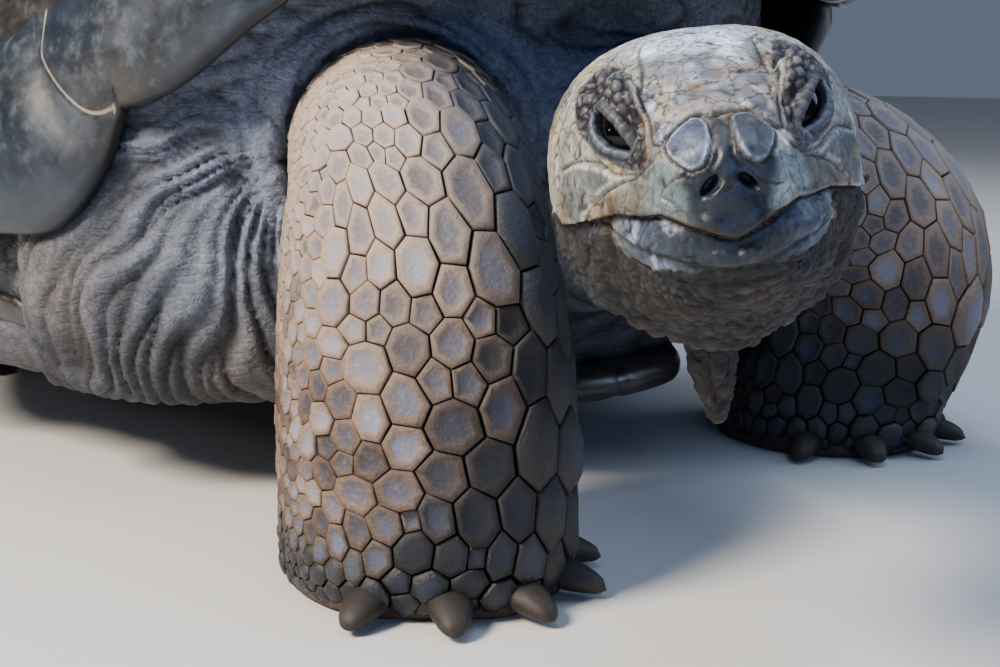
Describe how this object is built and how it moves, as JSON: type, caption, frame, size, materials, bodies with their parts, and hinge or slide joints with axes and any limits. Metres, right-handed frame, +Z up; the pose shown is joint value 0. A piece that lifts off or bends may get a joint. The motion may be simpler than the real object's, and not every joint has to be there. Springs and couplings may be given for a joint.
{
  "type": "giant tortoise",
  "caption": "Life-size giant tortoise standing low under a domed shell, its neck stretched out and turned to its right, with plated forelegs and short toe claws.",
  "frame": {"origin": "on the floor, below the middle of the whole animal's bounding box", "axes": "+Z up, the animal faces -Y, its left side is +X"},
  "size_m": [0.9082, 1.6043, 0.635],
  "materials": {
    "shell_horn": "polished dark blue-grey horn with tan edges",
    "belly_horn": "dull yellowish brown horn",
    "skin": "dry wrinkled grey-brown hide",
    "leg_scales": "dry scales with tan rims and blue-grey middles",
    "face_scales": "smooth waxy pale tan and grey scales",
    "eye": "wet dark brown",
    "claw": "satin dark horn"
  },
  "bodies": {
    "root": {"carapace": "shell_horn", "plastron": "belly_horn", "torso": "skin", "neck": "skin", "tail": "skin", "head": "face_scales", "eye_right": "eye", "eye_left": "eye", "foreleg_right": "leg_scales", "foreleg_right_claw_1": "claw", "foreleg_right_claw_2": "claw", "foreleg_right_claw_3": "claw", "foreleg_right_claw_4": "claw", "foreleg_right_claw_5": "claw", "foreleg_left": "leg_scales", "foreleg_left_claw_1": "claw", "foreleg_left_claw_2": "claw", "foreleg_left_claw_3": "claw", "foreleg_left_claw_4": "claw", "foreleg_left_claw_5": "claw", "hindleg_right": "leg_scales", "hindleg_right_claw_1": "claw", "hindleg_right_claw_2": "claw", "hindleg_right_claw_3": "claw", "hindleg_right_claw_4": "claw", "hindleg_left": "leg_scales", "hindleg_left_claw_1": "claw", "hindleg_left_claw_2": "claw", "hindleg_left_claw_3": "claw", "hindleg_left_claw_4": "claw"}
  },
  "joints": []
}
